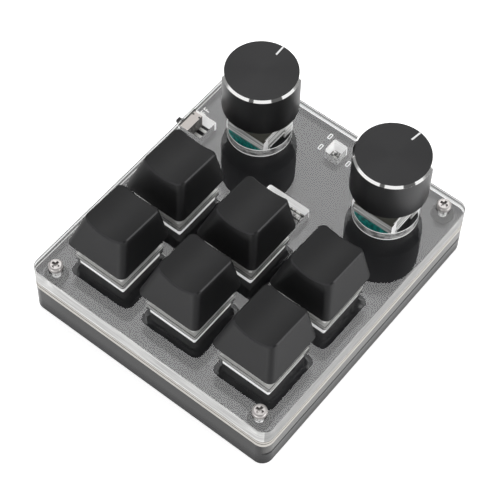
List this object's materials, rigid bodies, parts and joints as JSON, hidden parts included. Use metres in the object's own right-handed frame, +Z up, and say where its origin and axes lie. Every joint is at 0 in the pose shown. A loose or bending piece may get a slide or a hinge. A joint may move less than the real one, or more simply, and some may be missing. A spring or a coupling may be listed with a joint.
{
  "type": "macro keypad",
  "caption": "Desktop macro keypad: stacked acrylic case with sprung key switches, push-and-turn rotary knobs, a status light, an edge slide switch and a charging socket.",
  "frame": {"origin": "centre of the rubber pad's underside, on the desk, under the middle of the case", "axes": "+X to the user's right along the front edge, +Y from the keys to the knobs at the back, +Z up"},
  "size_m": [0.0748, 0.0826, 0.0386],
  "materials": {
    "pad_rubber": "matt black rubber sheet",
    "base_black": "polished black acrylic with a sawn edge",
    "board_pale": "pale glass-fibre laminate",
    "gasket_black": "thin black foam",
    "key_board_black": "pale laminate with a black lacquered face",
    "clear_acrylic": "polished clear acrylic",
    "screw_steel": "nickel-plated steel",
    "standoff_black": "black nylon",
    "socket_steel": "stamped steel",
    "battery_foil": "aluminium pouch foil",
    "module_green": "green lacquered board with a can over its chip",
    "light_white": "white light package",
    "connector_white": "white moulded nylon",
    "case_steel": "stamped tinned steel",
    "switch_base_pale": "pale moulded base with tinned legs",
    "lever_black": "moulded black plastic",
    "encoder_teal": "teal moulded plastic",
    "encoder_steel": "stamped plated steel",
    "plunger_white": "white acetal",
    "shaft_steel": "turned plated steel",
    "knob_black": "black anodised, spun top, bright cut chamfer",
    "pointer_white": "white filled line",
    "housing_white": "white moulded nylon",
    "housing_clear": "milky moulded plastic",
    "spring_steel": "spring steel",
    "stem_plastic": "self-lubricating plastic",
    "cap_black": "fine matt black plastic"
  },
  "bodies": {
    "case": {"base_pad": "pad_rubber", "bottom_plate": "base_black", "middle_frame": "base_black", "main_board": "board_pale", "board_gasket": "gasket_black", "key_board": "key_board_black", "top_plate": "clear_acrylic", "plate_screws": "screw_steel", "screw_standoffs": "standoff_black", "usb_socket": "socket_steel", "battery_cell": "battery_foil", "controller_module": "module_green", "status_light": "light_white", "board_connector": "connector_white", "slide_switch_case": "case_steel", "slide_switch_base": "switch_base_pale", "encoder_base_left": "encoder_teal", "encoder_cover_left": "encoder_steel", "encoder_base_right": "encoder_teal", "encoder_cover_right": "encoder_steel", "switch_lower_1": "housing_white", "switch_upper_1": "housing_clear", "key_spring_1": "spring_steel", "switch_lower_2": "housing_white", "switch_upper_2": "housing_clear", "key_spring_2": "spring_steel", "switch_lower_3": "housing_white", "switch_upper_3": "housing_clear", "key_spring_3": "spring_steel", "switch_lower_4": "housing_white", "switch_upper_4": "housing_clear", "key_spring_4": "spring_steel", "switch_lower_5": "housing_white", "switch_upper_5": "housing_clear", "key_spring_5": "spring_steel", "switch_lower_6": "housing_white", "switch_upper_6": "housing_clear", "key_spring_6": "spring_steel"},
    "key_1": {"key_stem_1": "stem_plastic", "keycap_1": "cap_black"},
    "key_2": {"key_stem_2": "stem_plastic", "keycap_2": "cap_black"},
    "key_3": {"key_stem_3": "stem_plastic", "keycap_3": "cap_black"},
    "key_4": {"key_stem_4": "stem_plastic", "keycap_4": "cap_black"},
    "key_5": {"key_stem_5": "stem_plastic", "keycap_5": "cap_black"},
    "key_6": {"key_stem_6": "stem_plastic", "keycap_6": "cap_black"},
    "push_left": {"encoder_plunger_left": "plunger_white"},
    "dial_left": {"encoder_shaft_left": "shaft_steel", "knob_left": "knob_black", "knob_pointer_left": "pointer_white"},
    "push_right": {"encoder_plunger_right": "plunger_white"},
    "dial_right": {"encoder_shaft_right": "shaft_steel", "knob_right": "knob_black", "knob_pointer_right": "pointer_white"},
    "slide_lever": {"slide_lever": "lever_black"}
  },
  "joints": [
    {"name": "key_press_1", "type": "slide", "parent": "case", "child": "key_1", "axis": [0, 0, -1], "range_m": [0, 0.004], "stiffness_N_per_m": 100, "springref_m": -0.003, "deforming": ["key_spring_1"]},
    {"name": "key_press_2", "type": "slide", "parent": "case", "child": "key_2", "axis": [0, 0, -1], "range_m": [0, 0.004], "stiffness_N_per_m": 100, "springref_m": -0.003, "deforming": ["key_spring_2"]},
    {"name": "key_press_3", "type": "slide", "parent": "case", "child": "key_3", "axis": [0, 0, -1], "range_m": [0, 0.004], "stiffness_N_per_m": 100, "springref_m": -0.003, "deforming": ["key_spring_3"]},
    {"name": "key_press_4", "type": "slide", "parent": "case", "child": "key_4", "axis": [0, 0, -1], "range_m": [0, 0.004], "stiffness_N_per_m": 100, "springref_m": -0.003, "deforming": ["key_spring_4"]},
    {"name": "key_press_5", "type": "slide", "parent": "case", "child": "key_5", "axis": [0, 0, -1], "range_m": [0, 0.004], "stiffness_N_per_m": 100, "springref_m": -0.003, "deforming": ["key_spring_5"]},
    {"name": "key_press_6", "type": "slide", "parent": "case", "child": "key_6", "axis": [0, 0, -1], "range_m": [0, 0.004], "stiffness_N_per_m": 100, "springref_m": -0.003, "deforming": ["key_spring_6"]},
    {"name": "knob_push_left", "type": "slide", "parent": "case", "child": "push_left", "axis": [0, 0, -1], "range_m": [0, 0.0005], "stiffness_N_per_m": 3000, "springref_m": -0.0007},
    {"name": "knob_turn_left", "type": "hinge", "parent": "push_left", "child": "dial_left", "pos_m": [-0.0201, 0.02845, 0.03], "axis": [0, 0, 1], "continuous": true},
    {"name": "knob_push_right", "type": "slide", "parent": "case", "child": "push_right", "axis": [0, 0, -1], "range_m": [0, 0.0005], "stiffness_N_per_m": 3000, "springref_m": -0.0007},
    {"name": "knob_turn_right", "type": "hinge", "parent": "push_right", "child": "dial_right", "pos_m": [0.0201, 0.02845, 0.03], "axis": [0, 0, 1], "continuous": true},
    {"name": "power_slide", "type": "slide", "parent": "case", "child": "slide_lever", "axis": [0, 1, 0], "range_m": [0, 0.002]}
  ]
}
